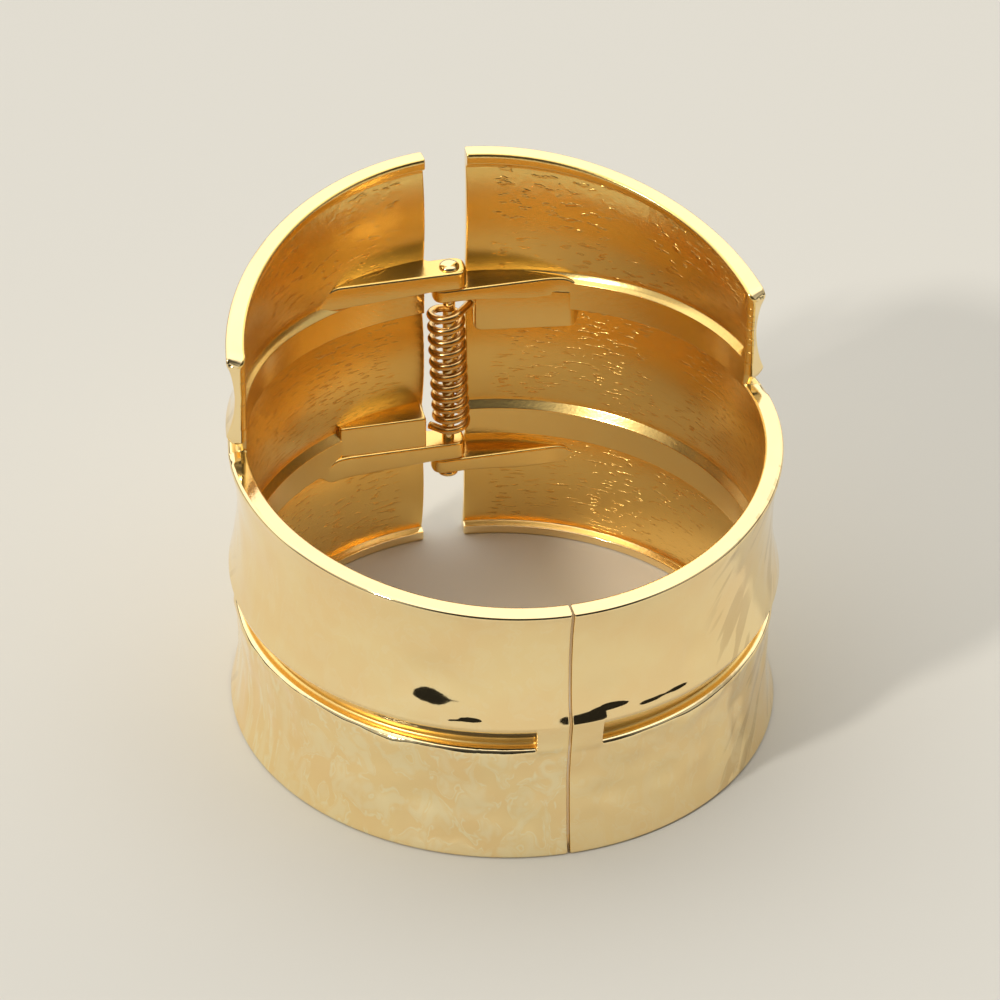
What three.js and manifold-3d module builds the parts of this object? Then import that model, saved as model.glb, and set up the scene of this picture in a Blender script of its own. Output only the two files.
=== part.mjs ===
// Spring-hinged cuff bangle: two cast half rings, a hinge pin and a torsion spring.
//
// Millimetres, +Z up. The bangle stands on its lower rim. The origin is in the middle of the ring,
// at the height of the lower rim. -Y is the front, where the two halves meet in a plain seam, and
// +Y is the back, where two pairs of ears on the inside carry the pin.

import * as THREE from 'three';
import { mergeVertices } from 'three/addons/utils/BufferGeometryUtils.js';
import Module from 'manifold-3d';

// Driving dimensions: the ring in plan.
const HALF_WIDTH = 31.7;        // outside, left to right
const HALF_DEPTH = 32.2;        // outside, front to back
const HALF_GAP = 2.65;          // half of the open gap at the hinge
const HALF_SEAM = 0.15;         // half of the fine gap at the front seam
const STEP_Y = 3.9;             // behind this line the band carries a third, upper band
const GROOVE_END = 3.9;         // the grooves stop this far from the seam and from the gap

// Heights above the lower rim, at the sides of the ring.
const LOWER_RIDGE = 15.0;       // top of the lower band
const MIDDLE_RIDGE = 18.4;      // bottom of the middle band
const FRONT_RIM = 35.6;         // top of the middle band, which is the front's rim
const UPPER_RIDGE = 37.7;       // bottom of the upper band
const RIB_TOP = 39.2;           // top of the upper inner rib
const TOP_RIM = 47.9;           // top of the upper band
const FRONT_DIP = 2.2;          // the front rim and the upper groove drop this much, front and back
const BACK_RISE = 6.5;          // the top rim climbs this much towards the hinge
const RISE_POWER = 1.32;        // how the climb is spread round the ring

// Insets, measured inwards from the outside oval.
const RIM_INSET = 2.35;         // inner edge of the rims and face of the inner ribs
const WALL = 1.25;              // thickness of a band
const WAIST = 1.1;              // how far the middle of a band curves in
const GROOVE_FLOOR = 1.5;
const GROOVE_TAPER = 0.15;      // the lower side leans by this much each way
const GROOVE_SLOPE = 0.66;      // the upper side slopes down over this share of the groove
const HOLLOW_EDGE = 1.55;       // top and bottom of each hollow on the inside
const OVERHANG_SLOPE = 0.35;    // the undersides of the ribs and the top rim slope by this much
const BOTTOM_CORNER = { inset: 0.4, height: 0.6 };
const TOP_CORNER = { inset: 0.2, height: 0.4 };

// Outside bands, from the lower rim up: a row for each, with its ends and their insets.
const BANDS = [
  { low: BOTTOM_CORNER.height, high: LOWER_RIDGE, lowInset: 0.0, highInset: 0.55 },
  { low: MIDDLE_RIDGE, high: FRONT_RIM, lowInset: 0.1, highInset: 0.05 },
  { low: UPPER_RIDGE, high: TOP_RIM - TOP_CORNER.height, lowInset: 0.05, highInset: 0.0 },
];

// Inside hollows, from the lower rim up, each with the fall of the ledge under it. A rim or a rib
// stands between each two. At the steps a short flange fills the upper hollow.
const HOLLOWS = [
  { low: 1.5, high: 14.5, ledge: 0.35 },
  { low: 19.4, high: 34.8, ledge: 0.95 },
  { low: 39.5, high: 46.9, ledge: 0.7 },
];
const FLANGE = { length: 1.1, outer: 1.3, inner: 2.3, belowRim: 0.5 };

// Hinge: each ear is a flat plate from the wall to the pin.
const AXIS_Y = 28.0;
const EAR_BACK = 29.9;
const EAR_END = 1.95;           // the ears reach this far past the axis
const EAR_TIP = 14.4;           // where the front edge of an ear runs into the wall
const EAR_ROUND = 1.3;
const EAR_LAP = 0.5;            // an ear's end overlaps its root by this much
const EAR_ROOT_INSET = 1.45;    // the ears are rooted this deep in the wall
const EAR_ROOT_SPREAD = 0.9;    // an ear's root runs this far past its front edge
const EAR_ROOT_GAP = 0.05;      // and stops this far short of the open gap

// The ears, from the top down. The underside of each sinks by its sag from the gap to its tip.
const EARS = [
  { side: -1, front: 26.4, bottom: 38.0, top: 40.4, sag: 0.8 },
  { side: 1, front: 26.8, bottom: 36.0, top: 37.75, sag: 0.95 },
  { side: -1, front: 26.4, bottom: 13.8, top: 16.1, sag: 0.8 },
  { side: 1, front: 26.8, bottom: 11.6, top: 13.5, sag: 0.95 },
];
const BLOCK = { near: 2.9, far: 13.4, front: 26.7, bottom: 15.5, top: 20.1 };
const PAD = { near: 3.3, far: 14.9, nearY: 29.3, farY: 25.9, bottom: 30.6, top: 36.4 };

// Pin and spring.
const PIN_RADIUS = 0.75;
const PIN_HOLE = 1.0;
const PIN_HEAD_RADIUS = 1.25;
const PIN_HEAD_HEIGHT = 0.75;
const PIN_FOOT_HEIGHT = 0.5;
const SEAT_GAP = 0.05;          // between each head of the pin and its ear
const SPRING_MEAN_RADIUS = 1.8;
const WIRE_RADIUS = 0.45;
const SPRING_BOTTOM = 18.1;
const SPRING_TOP = 34.5;
const SPRING_TURNS = 10.25;
const SPRING_START = -3 * Math.PI / 4;  // where the lower leg leaves the coil
const SPRING_SPREAD = 0.1;      // the pitch grows by this share either way from its middle value
const SPRING_LEAN = 0.4;        // the coil leans about the rod by this much either way
const LOWER_LEG = 1.9;
const UPPER_LEG = 2.6;

// Fineness of the facets.
const ARC_STEPS = 34;           // round one half ring
const BAND_SEGMENTS = 3;        // up each band and hollow
const PLATE_SEGMENTS = 5;       // along each curve of an ear's outline
const PIN_FACETS = 20;
const DOME_STEPS = 3;
const WIRE_SEGMENTS = 3;        // half the number of sides of the wire
const STEPS_PER_TURN = 15;
const WELD = 1e-5;              // vertices nearer than this are one

// Cutting solids run past what they cut.
const CUT_OUTSIDE = 3.0;
const CUT_INSIDE = 6.0;
const CUT_ABOVE = 12.0;
const CUT_ANGLE = 0.1;
const GROOVE_OUTSIDE = 1.0;
const STEP_OVERRUN = 0.05;      // the upper groove starts this angle in front of the side

const GOLD = { color: 0xffd98a, metalness: 1.0, roughness: 0.22 };
const GOLD_WIRE = { color: 0xe0a860, metalness: 1.0, roughness: 0.32 };

const wasm = await Module();
wasm.setup();

// ---- solids -------------------------------------------------------------------------------------

/** A closed geometry as a solid that can be joined and cut. */
function solid(geometry) {
  const bare = geometry.clone();
  bare.deleteAttribute('normal');
  bare.deleteAttribute('uv');
  const merged = mergeVertices(bare, WELD);
  return new wasm.Manifold(new wasm.Mesh({
    numProp: 3,
    vertProperties: new Float32Array(merged.attributes.position.array),
    triVerts: new Uint32Array(merged.index.array),
  }));
}

/** A solid back as a geometry for a mesh. */
function geometryOf(body) {
  const mesh = body.getMesh();
  const geometry = new THREE.BufferGeometry();
  geometry.setAttribute('position', new THREE.BufferAttribute(mesh.vertProperties, 3));
  geometry.setIndex(new THREE.BufferAttribute(mesh.triVerts, 1));
  geometry.computeVertexNormals();
  return geometry;
}

/** A flat outline in plan, raised from one height to another. */
function plate(outline, bottom, top) {
  const geometry = new THREE.ExtrudeGeometry(outline, {
    depth: top - bottom,
    bevelEnabled: false,
    curveSegments: PLATE_SEGMENTS,
  });
  geometry.translate(0, 0, bottom);
  return solid(geometry);
}

// ---- the ring -----------------------------------------------------------------------------------

/** Angle on the oval of a point at distance x from the middle line. */
function angleAtX(x) {
  return Math.acos(x / HALF_WIDTH);
}

/** How far the ring's levels are lifted at one angle: a row for each level. */
function levels(angle) {
  const reach = Math.abs(Math.sin(angle));
  const dip = -FRONT_DIP * reach ** 2;
  const rise = Math.sin(angle) > 0 ? BACK_RISE * reach ** RISE_POWER : 0;
  return [
    { height: 0, lift: 0 },
    { height: MIDDLE_RIDGE, lift: 0 },
    { height: FRONT_RIM, lift: dip },
    { height: RIB_TOP, lift: dip },
    { height: TOP_RIM, lift: rise },
  ];
}

/** A height on the sides of the ring carried round to another angle. */
function carried(height, angle) {
  const rows = levels(angle);
  let upper = rows.findIndex((row) => row.height >= height);
  if (upper === -1) upper = rows.length - 1;
  if (upper === 0) return height;
  const low = rows[upper - 1];
  const high = rows[upper];
  const share = Math.min((height - low.height) / (high.height - low.height), 1);
  return height + low.lift + share * (high.lift - low.lift);
}

/**
 * A profile carried round the oval. The profile is drawn as (inset from the outside, height) and
 * extruded straight, and then each point is bent round the ring to its angle.
 */
function sweep(profile, fromAngle, toAngle) {
  const steps = Math.max(2, Math.round(ARC_STEPS * (toAngle - fromAngle) / Math.PI));
  const geometry = new THREE.ExtrudeGeometry(profile, {
    depth: 1,
    steps,
    bevelEnabled: false,
    curveSegments: BAND_SEGMENTS,
  });
  const place = geometry.attributes.position;
  for (let i = 0; i < place.count; i += 1) {
    const inset = place.getX(i);
    const angle = fromAngle + place.getZ(i) * (toAngle - fromAngle);
    place.setXYZ(
      i,
      (HALF_WIDTH - inset) * Math.cos(angle),
      (HALF_DEPTH - inset) * Math.sin(angle),
      carried(place.getY(i), angle),
    );
  }
  return solid(geometry);
}

/** The section of the whole wall: three waisted bands, two inner ribs and two inner rims. */
function wallProfile() {
  const inner = WAIST + WALL;
  const profile = new THREE.Shape();
  profile.moveTo(RIM_INSET, 0);
  profile.lineTo(BOTTOM_CORNER.inset, 0);
  for (const band of BANDS) {
    const middle = (band.low + band.high) / 2;
    const pull = 2 * WAIST - (band.lowInset + band.highInset) / 2;
    profile.lineTo(band.lowInset, band.low);
    profile.quadraticCurveTo(pull, middle, band.highInset, band.high);
  }
  profile.lineTo(TOP_CORNER.inset, TOP_RIM);
  profile.lineTo(RIM_INSET, TOP_RIM);
  for (const hollow of HOLLOWS.toReversed()) {
    const middle = (hollow.low + hollow.high) / 2;
    profile.lineTo(RIM_INSET, hollow.high + OVERHANG_SLOPE);
    profile.lineTo(HOLLOW_EDGE, hollow.high);
    profile.quadraticCurveTo(2 * inner - HOLLOW_EDGE, middle, HOLLOW_EDGE, hollow.low);
    profile.lineTo(RIM_INSET, hollow.low - hollow.ledge);
  }
  profile.closePath();
  return profile;
}

/** The section of a groove: a floor, a steep lower side and a sloping upper side. */
function grooveProfile(low, high) {
  const slope = GROOVE_SLOPE * (high - low);
  const profile = new THREE.Shape();
  profile.moveTo(-GROOVE_OUTSIDE, low - GROOVE_TAPER);
  profile.lineTo(GROOVE_FLOOR, low + GROOVE_TAPER);
  profile.lineTo(GROOVE_FLOOR, high - slope);
  profile.lineTo(-GROOVE_OUTSIDE, high + slope * GROOVE_OUTSIDE / GROOVE_FLOOR);
  profile.closePath();
  return profile;
}

/** The section of the flange beside a step. */
function flangeProfile() {
  const profile = new THREE.Shape();
  profile.moveTo(FLANGE.outer, FRONT_RIM);
  profile.lineTo(FLANGE.inner, FRONT_RIM);
  profile.lineTo(FLANGE.inner, TOP_RIM - FLANGE.belowRim);
  profile.lineTo(FLANGE.outer, TOP_RIM - FLANGE.belowRim);
  profile.closePath();
  return profile;
}

/** The space over the front rim, which is cut away in front of the steps. */
function aboveFrontProfile() {
  const profile = new THREE.Shape();
  profile.moveTo(-CUT_OUTSIDE, FRONT_RIM);
  profile.lineTo(CUT_INSIDE, FRONT_RIM);
  profile.lineTo(CUT_INSIDE, TOP_RIM + CUT_ABOVE);
  profile.lineTo(-CUT_OUTSIDE, TOP_RIM + CUT_ABOVE);
  profile.closePath();
  return profile;
}

// ---- the hinge ----------------------------------------------------------------------------------

/** The end of an ear that goes round the pin, drawn on the left half. */
function earEnd({ front, bottom, top }) {
  const lap = HALF_GAP + EAR_LAP;
  const outline = new THREE.Shape();
  outline.moveTo(-lap, front);
  outline.lineTo(EAR_END - EAR_ROUND, front);
  outline.quadraticCurveTo(EAR_END, front, EAR_END, front + EAR_ROUND);
  outline.lineTo(EAR_END, EAR_BACK - EAR_ROUND);
  outline.quadraticCurveTo(EAR_END, EAR_BACK, EAR_END - EAR_ROUND, EAR_BACK);
  outline.lineTo(-lap, EAR_BACK);
  outline.closePath();
  return plate(outline, bottom, top);
}

/** The root of an ear, from the gap into the wall. Its underside sinks evenly towards its tip. */
function earRoot({ front, bottom, top, sag }) {
  const width = HALF_WIDTH - EAR_ROOT_INSET;
  const depth = HALF_DEPTH - EAR_ROOT_INSET;
  const rootNear = Math.acos(-(HALF_GAP + EAR_ROOT_GAP) / width);
  const rootFar = Math.acos(-(EAR_TIP + EAR_ROOT_SPREAD) / width);
  const outline = new THREE.Shape();
  outline.moveTo(-EAR_TIP, front);
  outline.lineTo(-HALF_GAP, front);
  outline.lineTo(-HALF_GAP, EAR_BACK);
  outline.absellipse(0, 0, width, depth, rootNear, rootFar, false, 0);
  outline.closePath();
  const geometry = new THREE.ExtrudeGeometry(outline, {
    depth: top - bottom,
    bevelEnabled: false,
    curveSegments: PLATE_SEGMENTS,
  });
  const place = geometry.attributes.position;
  for (let i = 0; i < place.count; i += 1) {
    const past = (-place.getX(i) - HALF_GAP) / (EAR_TIP - HALF_GAP);
    const level = place.getZ(i) > 0 ? top : bottom - sag * past;
    place.setZ(i, level);
  }
  return solid(geometry);
}

/** Plan of a raised block or pad on the left half: a straight face, rooted in the wall. */
function padOutline(near, far, nearY, farY) {
  const width = HALF_WIDTH - EAR_ROOT_INSET;
  const depth = HALF_DEPTH - EAR_ROOT_INSET;
  const outline = new THREE.Shape();
  outline.moveTo(-far, farY);
  outline.lineTo(-near, nearY);
  outline.absellipse(0, 0, width, depth, Math.acos(-near / width), Math.acos(-far / width), false, 0);
  outline.closePath();
  return outline;
}

/** The same solid on the other side of the middle line. */
function onSide(body, side) {
  return side < 0 ? body : body.mirror([1, 0, 0]);
}

/** Hole for the pin, through every ear. */
function pinHole() {
  const geometry = new THREE.CylinderGeometry(PIN_HOLE, PIN_HOLE, TOP_RIM, PIN_FACETS);
  geometry.rotateX(Math.PI / 2);
  geometry.translate(0, AXIS_Y, TOP_RIM / 2);
  return solid(geometry);
}

/** One cast half ring with its ears, and with the block (left) or the pad (right). */
function halfRing(side) {
  const seam = Math.PI / 2 - angleAtX(HALF_SEAM);
  const back = angleAtX(HALF_GAP);
  const step = Math.asin(STEP_Y / HALF_DEPTH);
  const grooveFront = -angleAtX(GROOVE_END);
  const grooveBack = angleAtX(HALF_GAP + GROOVE_END);
  let body = onSide(sweep(wallProfile(), -Math.PI / 2 + seam, back), -side);
  body = body.add(onSide(sweep(flangeProfile(), step, step + FLANGE.length / HALF_DEPTH), -side));
  for (const ear of EARS.filter((row) => row.side === side)) {
    body = body.add(onSide(earEnd(ear).add(earRoot(ear)), side));
  }
  if (side < 0) {
    const { near, far, front, bottom, top } = BLOCK;
    body = body.add(plate(padOutline(near, far, front, front), bottom, top));
  } else {
    const { near, far, nearY, farY, bottom, top } = PAD;
    body = body.add(onSide(plate(padOutline(near, far, nearY, farY), bottom, top), side));
  }
  const cuts = [
    sweep(grooveProfile(LOWER_RIDGE, MIDDLE_RIDGE), grooveFront, grooveBack),
    sweep(grooveProfile(FRONT_RIM, UPPER_RIDGE), -STEP_OVERRUN, grooveBack),
    sweep(aboveFrontProfile(), -Math.PI / 2 - CUT_ANGLE, step),
  ];
  for (const cut of cuts) body = body.subtract(onSide(cut, -side));
  return geometryOf(body.subtract(pinHole()));
}

/** The pin: a rod with a domed head on the top ear and a flat closing head under the lowest ear. */
function hingePin() {
  const under = Math.min(...EARS.map((ear) => ear.bottom)) - SEAT_GAP;
  const over = Math.max(...EARS.map((ear) => ear.top)) + SEAT_GAP;
  const profile = [
    new THREE.Vector2(0, under - PIN_FOOT_HEIGHT),
    new THREE.Vector2(PIN_HEAD_RADIUS, under - PIN_FOOT_HEIGHT),
    new THREE.Vector2(PIN_HEAD_RADIUS, under),
    new THREE.Vector2(PIN_RADIUS, under),
    new THREE.Vector2(PIN_RADIUS, over),
  ];
  for (let i = 0; i < DOME_STEPS; i += 1) {
    const climb = (i / DOME_STEPS) * Math.PI / 2;
    profile.push(new THREE.Vector2(
      PIN_HEAD_RADIUS * Math.cos(climb),
      over + PIN_HEAD_HEIGHT * Math.sin(climb),
    ));
  }
  profile.push(new THREE.Vector2(0, over + PIN_HEAD_HEIGHT));
  const geometry = new THREE.LatheGeometry(profile, PIN_FACETS);
  geometry.rotateX(Math.PI / 2);
  geometry.translate(0, AXIS_Y, 0);
  return geometryOf(solid(geometry));
}

/** Route of the spring wire: a rising coil with a short straight leg at each end. */
class SpringRoute extends THREE.Curve {
  getPoint(t, target = new THREE.Vector3()) {
    const sweepAngle = 2 * Math.PI * SPRING_TURNS;
    const coil = sweepAngle * SPRING_MEAN_RADIUS;
    const along = t * (LOWER_LEG + coil + UPPER_LEG) - LOWER_LEG;
    const wound = THREE.MathUtils.clamp(along, 0, coil);
    const straight = along - wound;
    const turned = wound / coil;
    const angle = SPRING_START + turned * sweepAngle;
    const climb = turned * (1 - SPRING_SPREAD + SPRING_SPREAD * turned);
    const lean = SPRING_LEAN * (1 - 2 * turned);
    return target.set(
      lean + SPRING_MEAN_RADIUS * Math.cos(angle) - straight * Math.sin(angle),
      AXIS_Y + SPRING_MEAN_RADIUS * Math.sin(angle) + straight * Math.cos(angle),
      SPRING_BOTTOM + climb * (SPRING_TOP - SPRING_BOTTOM),
    );
  }
}

/** The torsion spring: round wire carried along its route. */
function torsionSpring() {
  const wire = new THREE.Shape();
  wire.absarc(0, 0, WIRE_RADIUS, 0, 2 * Math.PI, false);
  const geometry = new THREE.ExtrudeGeometry(wire, {
    steps: Math.round(STEPS_PER_TURN * SPRING_TURNS),
    curveSegments: WIRE_SEGMENTS,
    extrudePath: new SpringRoute(),
  });
  return geometryOf(solid(geometry));
}

// ---- the scene graph ----------------------------------------------------------------------------

/** One named piece in its own material. */
function piece(name, geometry, finish) {
  const mesh = new THREE.Mesh(geometry, new THREE.MeshStandardMaterial(finish));
  mesh.name = name;
  return mesh;
}

const group = new THREE.Group();
group.add(
  piece('left_half', halfRing(-1), GOLD),
  piece('right_half', halfRing(1), GOLD),
  piece('hinge_pin', hingePin(), GOLD),
  piece('torsion_spring', torsionSpring(), GOLD_WIRE),
);

export default group;
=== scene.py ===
"""Spring-hinged cuff bangle in bright gold plate, standing on its lower rim.

Sizes are in millimetres and angles in radians unless a name says otherwise; a finish's places on
the surface map are in metres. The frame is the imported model's: +Z up, -Y the front seam, +Y the
hinge, +X the half that opens. A height is measured at the sides of the ring, and the ring's own law
carries it round to any angle.
"""

import logging
import math
from dataclasses import dataclass, field
from enum import Enum
from functools import partial
from typing import Any, Callable, Optional

import bmesh
import bpy
import numpy as np
from mathutils import Matrix

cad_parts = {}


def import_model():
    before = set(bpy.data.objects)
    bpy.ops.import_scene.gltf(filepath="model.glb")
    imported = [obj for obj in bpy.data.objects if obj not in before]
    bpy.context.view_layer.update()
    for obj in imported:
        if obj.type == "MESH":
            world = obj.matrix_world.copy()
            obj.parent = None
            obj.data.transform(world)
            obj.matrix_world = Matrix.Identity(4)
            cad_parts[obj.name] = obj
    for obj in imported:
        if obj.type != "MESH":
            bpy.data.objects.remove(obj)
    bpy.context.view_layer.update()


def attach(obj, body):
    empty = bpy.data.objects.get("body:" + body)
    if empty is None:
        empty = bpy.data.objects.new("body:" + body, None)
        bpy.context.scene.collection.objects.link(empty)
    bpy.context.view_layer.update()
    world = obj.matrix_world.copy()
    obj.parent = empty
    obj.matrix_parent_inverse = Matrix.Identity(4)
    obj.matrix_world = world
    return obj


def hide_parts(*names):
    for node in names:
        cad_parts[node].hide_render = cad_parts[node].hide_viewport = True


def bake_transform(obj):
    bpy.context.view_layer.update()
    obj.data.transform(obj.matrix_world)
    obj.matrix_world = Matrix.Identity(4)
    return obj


LOG = logging.getLogger("bangle")
MM = 0.001
TINY = 1e-6          # places nearer than this are the same place
DECIMALS = 5         # places on a line are rounded to this many
HINGE_Y = 28.0
UV_NAME = "surface"
Array = np.ndarray


# ---- shader expressions ----


def math_node(operation: str, swapped: bool = False) -> Callable[["Value", Any], "Value"]:
    """A method that adds one Math node on two values.

    Args:
        operation: what the node does.
        swapped: puts the other value first, for a reflected operator.

    Returns:
        The method.
    """

    def method(self: "Value", other: Any) -> "Value":
        """The node's result."""
        values = (other, self) if swapped else (self, other)
        return self.tree.node("ShaderNodeMath", {"operation": operation}, dict(enumerate(values)))

    return method


class Value:
    """A shader socket that can be used in arithmetic; each operation adds its Math node."""

    def __init__(self, tree: "Tree", socket: Any) -> None:
        """Wraps an output socket of the node tree that it belongs to."""
        self.tree = tree
        self.socket = socket

    __add__ = math_node("ADD")
    __radd__ = math_node("ADD", swapped=True)
    __sub__ = math_node("SUBTRACT")
    __rsub__ = math_node("SUBTRACT", swapped=True)
    __mul__ = math_node("MULTIPLY")
    __rmul__ = math_node("MULTIPLY", swapped=True)
    __pow__ = math_node("POWER")
    larger = math_node("MAXIMUM")

    def size(self) -> "Value":
        """The value without its sign."""
        return self.tree.node("ShaderNodeMath", {"operation": "ABSOLUTE"}, {0: self})

    def between(self, low: float, high: float) -> "Value":
        """A smooth step from 0 at low to 1 at high.

        Args:
            low: where the step begins.
            high: where it ends.

        Returns:
            The step.
        """
        settings = {"interpolation_type": "SMOOTHSTEP"}
        inputs = {"Value": self, "From Min": low, "From Max": high, "To Min": 0.0, "To Max": 1.0}
        return self.tree.node("ShaderNodeMapRange", settings, inputs)


@dataclass(frozen=True)
class Noise:
    """Settings of a noise: one scale, or one for each axis, its detail and its twist."""

    scale: Any
    detail: float = 2.0
    twist: float = 0.0


class Tree:
    """Builds the node tree of one material or of the surroundings."""

    def __init__(self, owner: Any) -> None:
        """Takes over a node tree and empties it.

        Args:
            owner: the material or world.
        """
        self.owner = owner
        owner.use_nodes = True
        self.data = owner.node_tree
        self.data.nodes.clear()

    @classmethod
    def material(cls, name: str) -> "Tree":
        """Starts a new material."""
        return cls(bpy.data.materials.new(name))

    def node(self, kind: str, settings: dict, inputs: dict, output: Any = 0) -> Optional[Value]:
        """Adds a node of any type.

        Args:
            kind: the node's type.
            settings: properties of the node, set before its sockets are filled.
            inputs: values or links, by socket name or number.
            output: the output socket wanted, by name or number, or None for a last node.

        Returns:
            The output socket, ready for arithmetic.
        """
        made = self.data.nodes.new(kind)
        for key, value in settings.items():
            setattr(made, key, value)
        for key, value in inputs.items():
            if isinstance(value, Value):
                self.data.links.new(value.socket, made.inputs[key])
            else:
                made.inputs[key].default_value = value
        return None if output is None else Value(self, made.outputs[output])

    def surface(self) -> Value:
        """The piece's own map: metres along the surface and metres up."""
        return self.node("ShaderNodeUVMap", {"uv_map": UV_NAME}, {})

    def place(self) -> Value:
        """Object coordinates."""
        return self.node("ShaderNodeTexCoord", {}, {}, "Object")

    def part(self, vector: Value, axis: str) -> Value:
        """One coordinate of a vector."""
        return self.node("ShaderNodeSeparateXYZ", {}, {"Vector": vector}, axis)

    def noise(self, vector: Value, noise: Noise) -> Value:
        """Adds a noise.

        Args:
            vector: where the noise is read, stretched first if each axis has its scale.
            noise: its settings.

        Returns:
            The noise, from 0 to 1.
        """
        scale = noise.scale
        if isinstance(scale, tuple):
            vector = self.node("ShaderNodeMapping", {}, {"Vector": vector, "Scale": scale})
            scale = 1.0
        inputs = {"Vector": vector, "Scale": scale, "Detail": noise.detail,
                  "Distortion": noise.twist}
        return self.node("ShaderNodeTexNoise", {}, inputs, "Fac")

    def blend(self, share: Value, low: Any, high: Any) -> Value:
        """A colour between two others, the first where the share is 0."""
        return self.node("ShaderNodeMix", {"data_type": "RGBA"}, {0: share, 6: low, 7: high}, 2)

    def finish(self, inputs: dict) -> bpy.types.Material:
        """Ends the tree in a Principled shader.

        Args:
            inputs: the shader's values or links, by socket name.

        Returns:
            The finished material.
        """
        shader = self.node("ShaderNodeBsdfPrincipled", {}, inputs, "BSDF")
        self.node("ShaderNodeOutputMaterial", {}, {"Surface": shader}, None)
        return self.owner

    def metal(self, color: Value, roughness: Value, height: Value,
              depth_mm: float) -> bpy.types.Material:
        """Ends the tree in a metal.

        Args:
            color: its colour.
            roughness: its roughness.
            height: a height from 0 to 1 that bends its normal.
            depth_mm: how far a height of 1 stands out.

        Returns:
            The finished material.
        """
        bump = {"Height": height, "Distance": depth_mm * MM}
        normal = self.node("ShaderNodeBump", {}, bump, "Normal")
        return self.finish({"Base Color": color, "Metallic": 1.0, "Roughness": roughness,
                            "Normal": normal})


# ---- finishes ----


@dataclass(frozen=True)
class DeepGold:
    """Satin plate on ribs, ears, the block and the pad, in a deeper colour that paints in the warm
    light bounced between the gold faces inside.
    """

    name: str = "deep_gold"
    # deeper, more orange tones: painted warm light bounced between gold faces
    pale: tuple = (1.0, 0.73, 0.27, 1.0)
    deep: tuple = (1.0, 0.66, 0.21, 1.0)
    roughness: float = 0.17
    cloud_roughness: float = 0.10
    cloud: Noise = Noise(240.0, 3.0)
    grain: Noise = Noise(2600.0)
    grain_mm: float = 0.012

    def color(self, tree: Tree, cloud: Value) -> Value:
        """Two close tones in soft clouds."""
        return tree.blend(cloud, self.pale, self.deep)

    def make(self) -> bpy.types.Material:
        """Builds the material.

        Returns:
            The material.
        """
        tree = Tree.material(self.name)
        place = tree.place()
        cloud = tree.noise(place, self.cloud)
        roughness = self.roughness + self.cloud_roughness * cloud
        grain = tree.noise(place, self.grain)
        return tree.metal(self.color(tree, cloud), roughness, grain, self.grain_mm)


@dataclass(frozen=True)
class PolishedGold(DeepGold):
    """Plain bright plate on rims, ends and the pin, with a faint cloud in its gloss."""

    name: str = "polished_gold"
    pale: tuple = (1.0, 0.80, 0.45, 1.0)
    deep: tuple = (0.98, 0.76, 0.40, 1.0)
    roughness: float = 0.07
    cloud_roughness: float = 0.06
    cloud: Noise = Noise(260.0, 3.0)
    grain: Noise = Noise(2400.0)
    grain_mm: float = 0.006


@dataclass(frozen=True)
class GrooveGold(DeepGold):
    """Rougher plate in the grooves, in the deeper tones of painted bounced light, with painted shade
    in a dark line under the front of the lower one's lip on the left.
    """

    name: str = "groove_gold"
    roughness: float = 0.30
    # dark colour of painted shade: a dark reflection painted into the lower groove's roof
    painted_shade: tuple = (0.085, 0.064, 0.032, 1.0)
    painted_shade_share: float = 0.93
    painted_shade_front: tuple = (0.024, 0.031)
    painted_shade_bottom: tuple = (0.0162, 0.0164)
    painted_shade_top: tuple = (0.0175, 0.0179)
    painted_shade_edge: tuple = (0.35, 0.65)
    speck: Noise = Noise(3000.0)
    speck_share: float = 0.5

    def color(self, tree: Tree, cloud: Value) -> Value:
        """The same tones, with painted shade in a dark line with a grainy edge.

        Args:
            tree: the material's tree.
            cloud: a noise from 0 to 1.

        Returns:
            The colour.
        """
        surface = tree.surface()
        front = tree.part(surface, "X").between(*self.painted_shade_front)
        up = tree.part(surface, "Y")
        line = up.between(*self.painted_shade_bottom) * (1.0 - up.between(*self.painted_shade_top))
        specks = self.speck_share * tree.noise(surface, self.speck)
        # painted shade: a dark line with a grainy edge in the groove's roof, towards the front seam
        # on the left
        dark = (line * front + specks - self.speck_share / 2).between(*self.painted_shade_edge)
        return tree.blend(self.painted_shade_share * dark, super().color(tree, cloud), self.painted_shade)


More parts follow.
